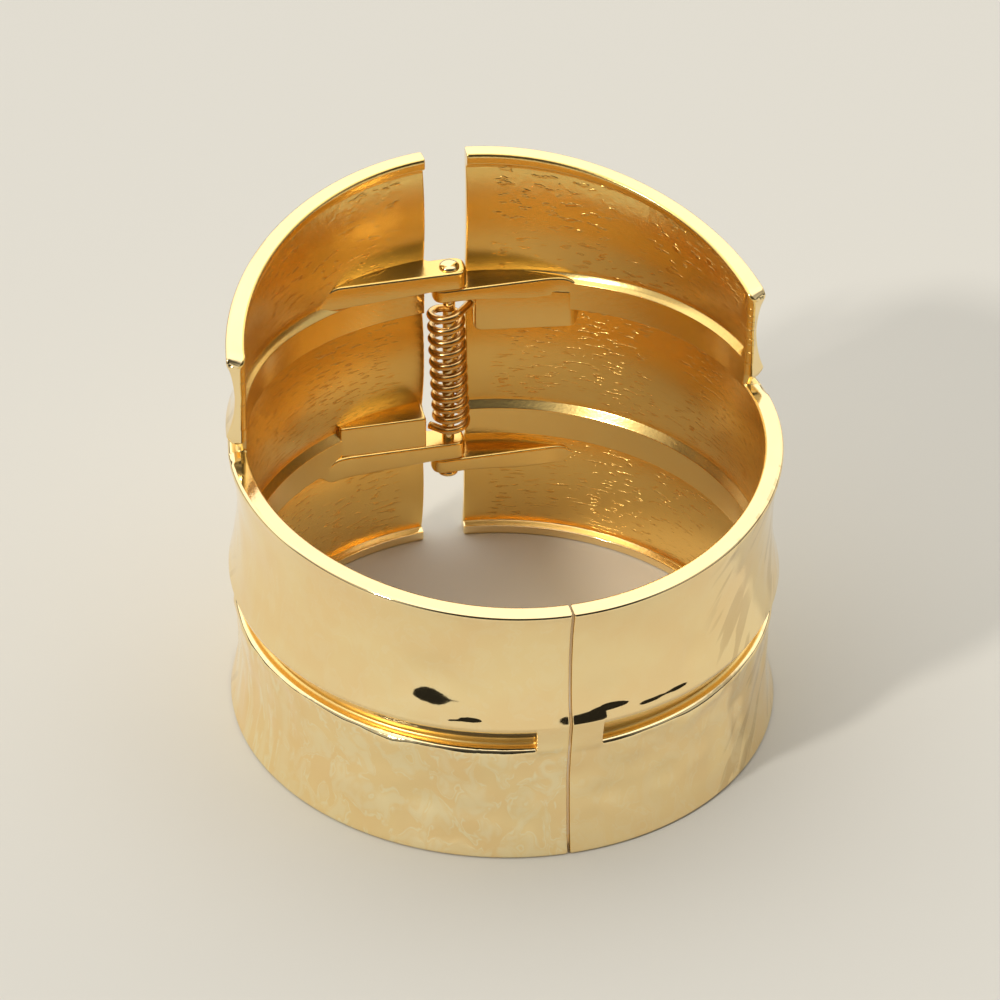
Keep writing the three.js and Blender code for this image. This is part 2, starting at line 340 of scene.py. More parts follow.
@dataclass(frozen=True)
class HammeredGold:
    """Bright plate over the hammered outside, whose broad dents are in the mesh.

    This adds a crumpled bump from the same noises and paints light into the colour: thin bright lines
    of painted reflection along the level lines of a noise, soft patches of painted highlight, and
    upright bright streaks at the sides. They are strongest on the lower band, left of the seam.
    Right of it lie a few slanting streaks of painted shade.
    """

    name: str = "hammered_gold"
    pale: tuple = (1.0, 0.79, 0.42, 1.0)
    deep: tuple = (0.99, 0.75, 0.39, 1.0)
    # colour of the painted light: bright reflections painted into the lines, patches and streaks
    painted_light: tuple = (1.0, 0.91, 0.60, 1.0)
    # colour of the painted shade in the slanting leaves at the right
    shade: tuple = (0.72, 0.53, 0.27, 1.0)
    roughness: float = 0.05
    worn_roughness: float = 0.05
    cloud: Noise = Noise(130.0, 2.0, 0.4)
    cloud_edge: tuple = (0.35, 0.65)
    web: Noise = Noise((370.0, 290.0, 1.0), 2.0, 1.0)
    web_mm: float = 0.11
    streak: Noise = Noise((430.0, 70.0, 1.0), 1.5, 0.4)
    streak_height: float = 0.6
    breaks: Noise = Noise(520.0, 1.0)
    break_edge: tuple = (0.38, 0.56)
    painted_light_width: float = 0.045
    painted_light_share: float = 0.85
    patch_edge: tuple = (0.47, 0.66)
    painted_patch_share: float = 0.6
    sides: tuple = (0.008, 0.020)
    lower_band_top: tuple = (0.0135, 0.0165)
    lower_share: float = 0.95
    upper_share: float = 0.24
    upper_height: float = 0.15
    left_side: tuple = (-0.012, 0.006)
    right_share: float = 0.4
    leaf: Noise = Noise(1.0, 1.5, 0.3)
    leaf_along: float = 430.0
    leaf_lean: float = -420.0
    leaf_up: float = 110.0
    leaf_edge: tuple = (0.43, 0.47)
    group: Noise = Noise(95.0, 1.0)
    group_edge: tuple = (0.42, 0.52)
    shade_start: tuple = (-0.033, -0.027)
    shade_end: tuple = (-0.006, 0.0)
    shade_share: float = 0.7

    def painted_lights(self, noise: Value, breaks: Value) -> Value:
        """Broken lines of painted light where a noise crosses one half, and soft patches of painted
        highlight where it is high.

        Args:
            noise: the noise, from 0 to 1.
            breaks: 0 where the lines are broken, and 1 elsewhere.

        Returns:
            How strong both are, from 0 to 1.
        """
        line = (1.0 - (noise - 0.5).size().between(0.0, self.painted_light_width)) * breaks
        patch = noise.between(*self.patch_edge)
        return (self.painted_light_share * line).larger(self.painted_patch_share * patch)

    def shades(self, tree: Tree, surface: Value) -> Value:
        """Groups of slanting leaves of painted shade at the right.

        Args:
            tree: the material's tree.
            surface: the surface map.

        Returns:
            How dark they are, from 0 to 1.
        """
        along, up = tree.part(surface, "X"), tree.part(surface, "Y")
        leaning = {"X": self.leaf_along * along + self.leaf_lean * up, "Y": self.leaf_up * up}
        leaf = tree.noise(tree.node("ShaderNodeCombineXYZ", {}, leaning), self.leaf)
        at_right = along.between(*self.shade_start) * (1.0 - along.between(*self.shade_end))
        groups = tree.noise(surface, self.group).between(*self.group_edge)
        return (1.0 - leaf.between(*self.leaf_edge)) * groups * at_right

    def make(self) -> bpy.types.Material:
        """Builds the material: the map's first part is 0 at the sides and grows to the left seam.

        Returns:
            The material.
        """
        tree = Tree.material(self.name)
        surface = tree.surface()
        along, up = tree.part(surface, "X"), tree.part(surface, "Y")
        web, streak = tree.noise(surface, self.web), tree.noise(surface, self.streak)
        breaks = tree.noise(surface, self.breaks).between(*self.break_edge)
        cloud = tree.noise(tree.place(), self.cloud)
        at_side = 1.0 - along.size().between(*self.sides)
        lower = 1.0 - up.between(*self.lower_band_top)
        left = self.right_share + (1.0 - self.right_share) * along.between(*self.left_side)
        share = left * (self.upper_share + (self.lower_share - self.upper_share) * lower)
        # painted light: bright lines and patches of painted reflection, blended into the colour below
        painted_light_mask = self.painted_lights(web, breaks) * (1.0 - at_side) + self.painted_lights(streak, breaks) * at_side
        body = tree.blend(cloud.between(*self.cloud_edge), self.deep, self.pale)
        # painted shade: dark slanting leaves at the right
        body = tree.blend(self.shade_share * self.shades(tree, surface), body, self.shade)
        height = web * (1.0 - at_side) + self.streak_height * streak * at_side
        height = height * (self.upper_height + (1.0 - self.upper_height) * lower) * left
        roughness = self.roughness + self.worn_roughness * cloud ** 2.0
        return tree.metal(tree.blend(painted_light_mask * share, body, self.painted_light), roughness, height,
                          self.web_mm)


@dataclass(frozen=True)
class BrushedGold:
    """The inside: plate of a deeper colour, which paints in the warm light bounced inside the ring,
    with short strokes that run round the ring and stop near its gap.
    """

    name: str = "brushed_gold"
    # deeper, more orange tones: painted warm light bounced inside the ring
    pale: tuple = (1.0, 0.72, 0.25, 1.0)
    deep: tuple = (1.0, 0.64, 0.17, 1.0)
    stroke: tuple = (0.80, 0.44, 0.10, 1.0)
    roughness: float = 0.27
    stroke_roughness: float = 0.06
    strokes: Noise = Noise((480.0, 2700.0, 1.0), 2.0, 0.1)
    stroke_edge: tuple = (0.58, 0.66)
    stroke_mm: float = 0.04
    stroke_share: float = 0.7
    fine: Noise = Noise((1300.0, 8000.0, 1.0), 2.0, 0.1)
    fine_share: float = 0.12
    beaten: Noise = Noise((900.0, 1500.0, 1.0), 2.0, 0.5)
    beaten_share: float = 1.2
    beaten_from: tuple = (0.0437, 0.0455)
    patch: Noise = Noise(120.0)
    patch_edge: tuple = (0.30, 0.60)
    plain_from: tuple = (0.0437, 0.0447)

    def make(self) -> bpy.types.Material:
        """Builds the material: strokes fade out near the gap and turn to small dents at the top.

        Returns:
            The material.
        """
        tree = Tree.material(self.name)
        surface = tree.surface()
        strokes, fine = tree.noise(surface, self.strokes), tree.noise(surface, self.fine)
        beaten, patches = tree.noise(surface, self.beaten), tree.noise(surface, self.patch)
        marked = 1.0 - tree.part(surface, "X").size().between(*self.plain_from)
        at_top = tree.part(surface, "Y").between(*self.beaten_from)
        marks = strokes.between(*self.stroke_edge) * patches.between(*self.patch_edge)
        height = marks + self.fine_share * fine + self.beaten_share * at_top * beaten
        body = tree.blend(patches, self.pale, self.deep)
        color = tree.blend(self.stroke_share * (marks * marked), body, self.stroke)
        roughness = self.roughness - self.stroke_roughness * marks
        return tree.metal(color, roughness, height * marked, self.stroke_mm)


@dataclass(frozen=True)
class WireGold:
    """Duller, browner plate on the spring's wire, with draw lines along it."""

    name: str = "wire_gold"
    pale: tuple = (0.93, 0.63, 0.27, 1.0)
    deep: tuple = (0.74, 0.45, 0.16, 1.0)
    roughness: float = 0.16
    line_roughness: float = 0.14
    lines: Noise = Noise((120.0, 6000.0, 1.0))
    line_mm: float = 0.006
    cloud: Noise = Noise(420.0, 3.0)

    def make(self) -> bpy.types.Material:
        """Builds the material.

        Returns:
            The material.
        """
        tree = Tree.material(self.name)
        lines = tree.noise(tree.surface(), self.lines)
        body = tree.blend(tree.noise(tree.place(), self.cloud), self.pale, self.deep)
        return tree.metal(body, self.roughness + self.line_roughness * lines, lines, self.line_mm)


@dataclass(frozen=True)
class PaleFloor:
    """The plain floor that the bangle stands on."""

    name: str = "pale_floor"
    color: tuple = (0.632, 0.612, 0.560, 1.0)
    roughness: float = 0.85
    sheen: float = 0.15

    def make(self) -> bpy.types.Material:
        """Builds the material.

        Returns:
            The material.
        """
        return Tree.material(self.name).finish({
            "Base Color": self.color,
            "Roughness": self.roughness,
            "Specular IOR Level": self.sheen,
        })


class Zone(Enum):
    """Where on a half ring a face lies, which settles its finish."""

    POLISHED = 0
    HAMMERED = 1
    BRUSHED = 2
    DEEP = 3
    GROOVE = 4


# ---- surfaces ----


def placed(name: str, data: Any, axes: Optional[tuple] = None,
           eye: Any = (0.0, 0.0, 0.0)) -> bpy.types.Object:
    """Adds an object to the scene.

    Args:
        name: its name.
        data: its mesh, camera or light.
        axes: the directions of its own X, Y and Z, where it is turned.
        eye: its place in metres, where it is turned.

    Returns:
        The object.
    """
    made = bpy.data.objects.new(name, data)
    if axes is not None:
        matrix = np.eye(4)
        matrix[:3, :3] = np.column_stack(axes)
        matrix[:3, 3] = eye
        made.matrix_world = Matrix(matrix.tolist())
    bpy.context.scene.collection.objects.link(made)
    return made


class Skin:
    """A mesh under construction: grids of points, with faces, a surface map and a finish for each."""

    def __init__(self, name: str) -> None:
        """Starts an empty mesh.

        Args:
            name: the piece's name.
        """
        self.name = name
        self.points: list[Array] = []
        self.uvs: list[Array] = []
        self.quads: list[Array] = []
        self.zones: list[Array] = []
        self.count = 0

    def grid(self, points: Array, uv: Array, zone: Zone, keep: Optional[Array] = None,
             flip: bool = False) -> None:
        """Adds a surface given as a grid of points.

        Args:
            points: rows by columns by 3, in millimetres.
            uv: rows by columns by 2, in metres along and up the surface.
            zone: the finish of its faces.
            keep: which faces are real, one fewer each way than the points.
            flip: turns the faces round.
        """
        rows, columns = points.shape[:2]
        index = np.arange(rows * columns).reshape(rows, columns) + self.count
        corners = (index[:-1, :-1], index[:-1, 1:], index[1:, 1:], index[1:, :-1])
        quads = np.stack(corners, axis=-1)
        quads = quads[keep] if keep is not None else quads.reshape(-1, 4)
        self.points.append(points.reshape(-1, 3))
        self.uvs.append(uv.reshape(-1, 2))
        self.quads.append(quads[:, ::-1] if flip else quads)
        self.zones.append(np.full(len(quads), zone.value))
        self.count += rows * columns

    def mesh(self, finishes: list, weld_mm: float = 0.002) -> bpy.types.Object:
        """Ends the mesh: points welded, slivers dropped, normals smooth.

        Args:
            finishes: one material for each zone number that is used.
            weld_mm: points nearer than this become one; slivers are under half of it.

        Returns:
            The piece, with its place in its mesh.
        """
        points = np.concatenate(self.points) * MM
        quads = np.concatenate(self.quads)
        mesh = bpy.data.meshes.new(self.name)
        mesh.from_pydata(points.tolist(), [], quads.tolist())
        layer = mesh.uv_layers.new(name=UV_NAME)
        corner_uv = np.concatenate(self.uvs)[quads.reshape(-1)]
        layer.data.foreach_set("uv", corner_uv.astype(np.float32).ravel())
        mesh.polygons.foreach_set("material_index", np.concatenate(self.zones).astype(np.int32))
        for finish in finishes:
            mesh.materials.append(finish)
        work = bmesh.new()
        work.from_mesh(mesh)
        bmesh.ops.remove_doubles(work, verts=work.verts, dist=weld_mm * MM)
        bmesh.ops.dissolve_degenerate(work, edges=work.edges, dist=weld_mm * MM * 0.5)
        work.to_mesh(mesh)
        work.free()
        mesh.shade_smooth()
        return placed(self.name, mesh)


def surface_map(along: Array, up: Array) -> Array:
    """Distances along and up a surface, in millimetres, as its map in metres."""
    return np.stack(np.broadcast_arrays(along * MM, up * MM), axis=-1)


def smooth_step(value: Array, low: float, high: float) -> Array:
    """3t^2 - 2t^3, where t is how far the value has gone from low to high."""
    share = np.clip((value - low) / (high - low), 0.0, 1.0)
    return share * share * (3.0 - 2.0 * share)


def arch(t: Array, low: float, middle: float, high: float) -> Array:
    """A parabola through three values: (1-t)^2 lo + 2t(1-t) c + t^2 hi, with c = 2m - (lo + hi) / 2.

    Args:
        t: how far along it is, from 0 to 1.
        low: its value at 0.
        middle: its value at one half.
        high: its value at 1.

    Returns:
        Its values.
    """
    pull = 2 * middle - (low + high) / 2
    return (1 - t) ** 2 * low + 2 * t * (1 - t) * pull + t ** 2 * high


def edge_roll(distance: Array, radius: float) -> Array:
    """How far a surface has dropped on a round edge, at a distance from that edge.

    The drop is r - sqrt(r^2 - (r - d)^2) for a distance d under the radius r, and nothing past it.
    """
    inside = np.clip(radius - distance, 0.0, radius)
    return radius - np.sqrt(radius * radius - inside * inside)


def refined(base: Array, places: list, reach: float, steps: int, gap: float) -> Array:
    """Stations along a line, gathered more closely on both sides of some places.

    Each place gets stations at reach * (1 - cos a), which crowd towards it as a round edge needs.

    Args:
        base: the even stations, whose ends are kept.
        places: where more are wanted.
        reach: how far from each place they spread.
        steps: how many on each side.
        gap: stations other than the places are at least this far apart.

    Returns:
        All stations in order, without repeats.
    """
    spread = reach * (1.0 - np.cos(np.linspace(0.0, math.pi / 2, steps)))
    extra = [place + sign * spread for place in places for sign in (-1.0, 1.0)]
    found = np.concatenate([base, *extra])
    found = np.unique(np.round(found[(found >= base[0]) & (found <= base[-1])], DECIMALS))
    fixed = np.round(np.array([*places, base[0], base[-1]]), DECIMALS)
    away = np.abs(found[:, None] - fixed[None, :]).min(axis=1)
    kept = (away < TINY) | (away >= gap)
    found, at_place = found[kept], away[kept] < TINY
    apart = np.concatenate([[True], np.diff(found) >= gap])
    return found[apart | at_place]


@dataclass(frozen=True)
class Waves:
    """A smooth random field: the mean of some plane waves in seeded directions."""

    seed: int
    count: int
    shortest: float
    longest: float

    def at(self, point: Array) -> Array:
        """The field, sum(sin(k.x + p)) / sqrt(count / 2), so that its spread is about 1.

        Args:
            point: rows by columns by 3, in millimetres.

        Returns:
            The field, rows by columns.
        """
        rng = np.random.default_rng(self.seed)
        way = rng.normal(size=(self.count, 3))
        way /= np.linalg.norm(way, axis=1, keepdims=True)
        number = 2 * math.pi / rng.uniform(self.shortest, self.longest, self.count)
        phase = rng.uniform(0, 2 * math.pi, self.count)
        total = np.zeros(point.shape[:-1])
        for direction, wave, start in zip(way, number, phase):
            total += np.sin(point @ (direction * wave) + start)
        return total / math.sqrt(self.count / 2)


# ---- the ring's own law ----


@dataclass(frozen=True)
class Band:
    """One outside band: where it begins and ends, and how far it is inset there."""

    low: float
    high: float
    low_inset: float
    high_inset: float


@dataclass(frozen=True)
class Hollow:
    """A hollow between two inner rims or ribs, with the fall of the ledge under it."""

    low: float
    high: float
    ledge: float


@dataclass(frozen=True)
class Groove:
    """A cut between two bands, with a steep lower side and a sloping upper side."""

    low: float
    high: float


@dataclass(frozen=True)
class Ring:
    """The shape that both halves share: an oval in plan whose levels rise and dip round it."""

    half_width: float = 31.7
    half_depth: float = 32.2
    half_gap: float = 2.65  # half the gap at the hinge
    half_seam: float = 0.13  # half the gap at the front seam
    step_y: float = 3.9  # where the upper band begins, behind the ring's middle
    groove_end: float = 3.9  # from the seam, or the gap's edge, to a groove's end
    front_rim: float = 35.6
    rib_top: float = 39.2
    top_rim: float = 47.9
    middle_ridge: float = 18.4
    front_dip: float = 1.85  # of the front rim, at the seam
    back_dip: float = 2.2  # of the same level, at the hinge
    back_rise: float = 6.5  # of the top rim, at the hinge
    rise_power: float = 1.32
    rim_inset: float = 2.35
    wall: float = 1.25
    waist: float = 1.1  # inset of a band's middle
    groove_floor: float = 1.5  # depth of a groove's floor below the band
    groove_slope: float = 0.66  # share of a groove's height that its upper side takes
    groove_taper: float = 0.04  # height in which its lower side reaches the floor
    brow: float = 0.15  # share of the band's own inset by which a groove is less deep
    lip_radius: float = 0.75
    roof_share: float = 0.3  # straight share of a groove's upper side
    hollow_edge: float = 1.55  # inset of a hollow at its lower and upper edge
    overhang: float = 0.35  # height of the ledge over a hollow
    flange_length: float = 1.1  # of the thicker wall behind the step
    flange_fade: float = 0.3
    flange_inset: float = 2.3
    edge_radius: float = 0.24  # of the edges at the seam and the gap
    rim_radii: tuple = (0.52, 0.28)  # of the upper rims' outer and inner edges
    base_radii: tuple = (0.5, 0.3)  # the same for the lower rim
    bands: tuple = (
        Band(0.0, 15.0, 0.0, 0.55),
        Band(18.4, 35.6, 0.1, 0.05),
        Band(37.7, 47.9, 0.05, 0.0),
    )
    grooves: tuple = (Groove(15.0, 18.4), Groove(35.6, 37.7))
    hollows: tuple = (Hollow(1.5, 14.5, 0.35), Hollow(19.4, 34.8, 0.95), Hollow(39.5, 46.9, 0.7))

    @property
    def radius(self) -> float:
        """Mean radius of the outside, which turns angles into distances."""
        return (self.half_width + self.half_depth) / 2

    @property
    def step_angle(self) -> float:
        """Angle at which the upper band begins."""
        return math.asin(self.step_y / self.half_depth)

    def angle_at(self, across: float) -> float:
        """Angle on the oval at a distance from the middle line."""
        return math.acos(across / self.half_width)

    def oval(self, x: Array, inset: float) -> Array:
        """How far back the ring is, inset by some distance: b sqrt(1 - (x / a)^2)."""
        width, depth = self.half_width - inset, self.half_depth - inset
        return depth * np.sqrt(np.clip(1.0 - (x / width) ** 2, 0.0, 1.0))

    def carried(self, height: Array, angle: Array) -> Array:
        """Heights at the sides of the ring carried round to other angles.

        The lift at each of five levels follows the sine of the angle: none up to the middle ridge, a
        dip of -d sin^2 at the front rim and the rib's top, and a rise of r |sin|^p at the top rim
        behind the sides. Between levels it is linear.

        Args:
            height: heights at the sides.
            angle: angles on the oval, 0 at the side and a quarter turn at the back.

        Returns:
            The heights there.
        """
        height, angle = np.broadcast_arrays(height, angle)
        reach = np.abs(np.sin(angle))
        dip = -np.where(np.sin(angle) > 0, self.back_dip, self.front_dip) * reach ** 2
        rise = np.where(np.sin(angle) > 0, self.back_rise * reach ** self.rise_power, 0.0)
        lower = np.clip((height - self.middle_ridge) / (self.front_rim - self.middle_ridge), 0, 1)
        upper = np.clip((height - self.rib_top) / (self.top_rim - self.rib_top), 0, 1)
        return height + dip * lower + (rise - dip) * upper

    def point(self, inset: Array, height: Array, angle: Array) -> Array:
        """Places on the ring: (a - inset) cos, (b - inset) sin, and the height carried round.

        Args:
            inset: distance inwards from the outside oval.
            height: height at the sides.
            angle: angle on the oval.

        Returns:
            Points, with the coordinates last.
        """
        inset, height, angle = np.broadcast_arrays(inset, height, angle)
        across = (self.half_width - inset) * np.cos(angle)
        along = (self.half_depth - inset) * np.sin(angle)
        return np.stack([across, along, self.carried(height, angle)], axis=-1)

    def waisted(self, height: Array) -> Array:
        """Inset of the outside with no grooves.

        Each band is a parabola whose middle is inset by the waist. Between bands the inset is linear.

        Args:
            height: heights at the sides.

        Returns:
            Insets.
        """
        knots = [(band.low, band.low_inset) for band in self.bands]
        knots += [(band.high, band.high_inset) for band in self.bands]
        inset = np.interp(height, *zip(*sorted(knots)))
        for band in self.bands:
            t = (height - band.low) / (band.high - band.low)
            curve = arch(t, band.low_inset, self.waist, band.high_inset)
            inset = np.where((t >= 0) & (t <= 1), curve, inset)
        return inset

    def fall(self, groove: Groove) -> float:
        """How far a groove's upper side slopes down."""
        return self.groove_slope * (groove.high - groove.low)

    def cut(self, height: Array, groove: Groove) -> Array:
        """Inset of a groove's ledge, floor and rounded upper side, which cuts through the outside.

        The upper side is a straight slope blended with a quarter of an ellipse, with the share t of
        the fall that a height lies below the top: f (s t + (1 - s)(1 - sqrt(1 - t^2))).

        Args:
            height: heights at the sides.
            groove: the groove.

        Returns:
            Insets, under 0 outside the groove.
        """
        t = np.clip((groove.high - height) / self.fall(groove), 0.0, 1.0)
        rounded = 1.0 - np.sqrt(1.0 - t * t)
        roof = self.groove_floor * (self.roof_share * t + (1.0 - self.roof_share) * rounded)
        ledge = np.clip((height - groove.low) / self.groove_taper, -1.0, 1.0) * self.groove_floor
        return np.minimum(roof, ledge)

    def outside(self, height: Array, opened: tuple) -> Array:
        """Inset of the outside with both grooves, whose lips are round.

        Args:
            height: heights at the sides, in a column.
            opened: how far the lower and the upper groove are open, 0 to 1, each in a row.

        Returns:
            Insets, rows by columns.
        """
        plain = self.waisted(height) * np.ones_like(opened[0])
        result = plain
        for groove, share in zip(self.grooves, opened):
            depth = np.maximum(self.cut(height, groove) - self.brow * plain, 0.0)
            below = np.where(height <= groove.low, groove.low - height, self.lip_radius)
            rolled = edge_roll(below, self.lip_radius)
            result = result + np.maximum(depth * (height < groove.high), rolled) * share
        return result

    def inside(self, height: Array) -> Array:
        """Inset of the inside: flat rims and ribs, and hollows that bulge inwards at mid height.

        Args:
            height: heights at the sides.

        Returns:
            Insets.
        """
        inset = np.full_like(height, self.rim_inset)
        for hollow in self.hollows:
            t = np.clip((height - hollow.low) / (hollow.high - hollow.low), 0.0, 1.0)
            curve = arch(t, self.hollow_edge, self.waist + self.wall, self.hollow_edge)
            edge_low = np.clip((hollow.low - height) / hollow.ledge, 0.0, 1.0)
            edge_high = np.clip((height - hollow.high) / self.overhang, 0.0, 1.0)
            ledge = np.maximum(edge_low, edge_high)
            inset = np.where(ledge < 1.0, curve + (self.rim_inset - curve) * ledge, inset)
        return inset


def softened(law: Callable[[Array], Array], height: Array, reach: float, samples: int = 9,
             cut_off: float = 2.2) -> Array:
    """A profile with its corners rounded, by averaging it over a short height.

    Args:
        law: inset as a function of height; its result may have columns too.
        height: heights wanted.
        reach: half the height averaged over.
        samples: how many heights are averaged.
        cut_off: the weights are a cosine from -pi over this to pi over this.

    Returns:
        The averaged insets.
    """
    offsets = np.linspace(-1.0, 1.0, samples)
    weights = np.cos(offsets * math.pi / cut_off)
    total = sum(w * law(height + reach * o) for w, o in zip(weights, offsets))
    return total / weights.sum()


# ---- the cast halves ----


class Side(Enum):
    """Which half ring: the sign of X on its side."""

    LEFT = -1
    RIGHT = 1

    @property
    def mirror(self) -> Array:
        """What the coordinates of the right half are multiplied by."""
        return np.array([self.value, 1.0, 1.0])


@dataclass(frozen=True)
class Press:
    """One broad dent whose lower flank is steep: its place, its reaches and its depth."""

    across: float
    height: float
    reach: float
    flank: float
    depth: float
    recovery: float = 5.0
    roundness: float = 0.7

    def inset(self, place: Array) -> Array:
        """Inset at some places: an even rise over the flank, a slow return, and round in plan.

        Args:
            place: points of the outside, with the coordinates last.

        Returns:
            Insets.
        """
        above = place[..., 2] - self.height
        rise = smooth_step(above, -self.flank, self.flank)
        back = 1.0 - smooth_step(above, self.flank, self.flank + self.recovery)
        aside = np.clip(1.0 - ((place[..., 0] - self.across) / self.reach) ** 2, 0.0, 1.0)
        return self.depth * rise * back * aside ** self.roundness * (place[..., 1] < 0)


@dataclass(frozen=True)
class Hammer:
    """Dents of the outside: broad soft ones everywhere, and streaks and dimples on the lower band."""

    broad: Waves = Waves(11, 22, 8.0, 20.0)
    broad_mm: float = 0.08
    streak: Waves = Waves(23, 30, 2.4, 6.0)
    streak_mm: float = 0.08
    streak_stretch: float = 0.3
    dimple: Waves = Waves(37, 30, 2.8, 7.0)
    dimple_mm: float = 0.05
    ripple: Waves = Waves(41, 24, 1.6, 4.0)
    ripple_mm: float = 0.010
    presses: tuple = (
        Press(-15.7, 21.7, 3.2, 1.6, 0.56),
        Press(-11.9, 21.5, 1.5, 0.5, 0.19),
        Press(-13.4, 19.1, 1.0, 0.3, 0.09),
        Press(-11.2, 19.4, 1.5, 0.35, 0.12),
        Press(1.9, 19.1, 5.2, 0.9, 0.22),
        Press(5.2, 19.9, 2.6, 0.5, 0.17),
        Press(9.2, 19.1, 2.2, 0.4, 0.15),
        Press(12.9, 19.2, 2.6, 0.4, 0.14),
        Press(15.5, 21.2, 1.3, 0.8, 0.32),
    )
    upper_share: float = 0.5  # of the broad dents, above the lower band
    right_share: float = 0.55  # of the streaks, on the right half
    lower_top: tuple = (13.5, 16.5)  # heights over which the lower band's dents end
    calm_near_seam: tuple = (2.0, 16.0)  # distances from the seam over which streaks begin
    calm_at_foot: tuple = (0.5, 7.0)  # heights over which the lower band's dents begin
    fade_mm: float = 1.2  # the dents fade out this near to every edge

    def depth(self, ring: Ring, height: Array, angle: Array, side: Side) -> Array:
        """Inset that the dents add, in millimetres.

        Args:
            ring: the ring they are beaten into.
            height: heights at the sides, in a column.
            angle: angles, in a row.
            side: which half, so that the two aren't mirror images.

        Returns:
            Insets, rows by columns.
        """
        place = ring.point(0.0, height, angle) * side.mirror
        upright = place * np.array([1.0, 1.0, self.streak_stretch])
        lower = (1.0 - smooth_step(height, *self.lower_top)) * smooth_step(height, *self.calm_at_foot)
        calm = smooth_step(np.abs(place[..., 0]), *self.calm_near_seam)
        if side is Side.RIGHT:
            calm = calm * self.right_share
        share = self.upper_share + (1.0 - self.upper_share) * lower
        total = self.broad_mm * share * self.broad.at(place)
        streaks = self.streak_mm * calm * self.streak.at(upright)
        total = total + lower * (self.dimple_mm * self.dimple.at(place) + streaks)
        total = total + self.ripple_mm * (1.0 - lower) * self.ripple.at(place)
        fade = smooth_step(height, 0.0, 2.0 * self.fade_mm)
        edges = [level for groove in ring.grooves for level in (groove.low, groove.high)]
        for level in (*edges, ring.top_rim):
            fade = fade * smooth_step(np.abs(height - level), 0.0, self.fade_mm)
        return total * fade + sum(press.inset(place) for press in self.presses)


@dataclass
class RoundedBar:
    """A bar of rounded-rectangle section carried along X, for ears, the block and the pad.

    Each station has a front, a back, a bottom and a top, all functions of X, and its two ends are
    rolled in plan and in height.
    """

    start: float
    end: float
    front: Callable[[Array], Array]
    back: Callable[[Array], Array]
    bottom: Callable[[Array], Array]
    top: Callable[[Array], Array]
    corner: float = 0.28
    start_round: float = 0.3
    end_round: float = 0.3
    stations: int = 70
    end_stations: int = 10
    least: float = 0.02
    per_corner: int = 7

    def add_to(self, skin: Skin, side: Side) -> None:
        """Adds the bar to a mesh.

        The section is a rounded rectangle: its corner centres plus a radius turned through a full
        circle. It is carried from start to end, where the plan closes as a circle does.

        Args:
            skin: the mesh it goes into.
            side: which half it belongs to; the bar is drawn on the left and mirrored for the right.
        """
        even = np.linspace(self.start, self.end, self.stations)
        reach = max(self.start_round, self.end_round, self.corner)
        x = refined(even, [self.start, self.end], reach, self.end_stations, self.least / 4)[:, None]
        plan = edge_roll(x - self.start, self.start_round) + edge_roll(self.end - x, self.end_round)
        rise = edge_roll(np.minimum(x - self.start, self.end - x), self.corner)
        front, back = self.front(x) + plan, self.back(x) - plan
        bottom, top = self.bottom(x) + rise, self.top(x) - rise
        half_y = np.maximum((back - front) / 2, self.least)
        half_z = np.maximum((top - bottom) / 2, self.least)
        radius = np.minimum(self.corner, np.minimum(half_y, half_z))
        turn = np.concatenate([np.linspace(0, math.pi / 2, self.per_corner) + quarter * math.pi / 2
                               for quarter in range(4)] + [[2 * math.pi]])
        quarter = np.minimum(np.arange(turn.size) // self.per_corner, 3)
        quarter[-1] = 0
        sign_y, sign_z = np.array([1, -1, -1, 1])[quarter], np.array([1, 1, -1, -1])[quarter]
        y = (front + back) / 2 + sign_y * (half_y - radius) + radius * np.cos(turn)
        z = (bottom + top) / 2 + sign_z * (half_z - radius) + radius * np.sin(turn)
        points = np.stack([np.broadcast_to(x, y.shape), y, z], axis=-1)
        caps = [np.broadcast_to(points[end].mean(axis=0), (1, turn.size, 3)) for end in (0, -1)]
        points = np.concatenate([caps[0], points, caps[1]]) * np.array([-side.value, 1.0, 1.0])
        skin.grid(points, points[..., (0, 2)] * MM, Zone.DEEP, flip=side is Side.RIGHT)


@dataclass(frozen=True)
class Ear:
    """One ear: its faces at the pin, how its underside sags and rises, and how it meets the wall."""

    front: float
    bottom: float
    top: float
    sag: float
    sag_end: float
    rise: float
    wall_inset: float
    blend: float


@dataclass(frozen=True)
class Boss:
    """A block or pad on the inside: its two ends, its face at each, its underside and its top."""

    near: float
    far: float
    near_y: float
    far_y: float
    bottom: float
    top: float
    climb: float = 0.0  # of the underside, from the near end to the far one
    near_corner: float = 0.25
    fade: float = 0.0  # how far the face sinks at its far end
    fade_length: float = 2.2
    least_depth: float = 0.3


EARS = {
    Side.LEFT: (Ear(26.4, 38.0, 40.4, 0.8, 14.4, 0.6, 1.65, 0.6),
                Ear(26.4, 13.8, 16.1, 0.8, 14.4, 1.6, 2.35, 1.0)),
    Side.RIGHT: (Ear(26.8, 36.0, 37.75, 0.8, 9.5, 0.0, 2.35, 0.9),
                 Ear(26.8, 11.6, 13.5, 0.6, 9.0, 0.0, 1.95, 0.9)),
}
BOSSES = {
    Side.LEFT: Boss(2.9, 13.4, 26.7, 26.7, 15.5, 20.1),
    Side.RIGHT: Boss(3.3, 16.1, 29.3, 25.55, 29.9, 36.0, climb=1.3, near_corner=1.0, fade=0.8),
}


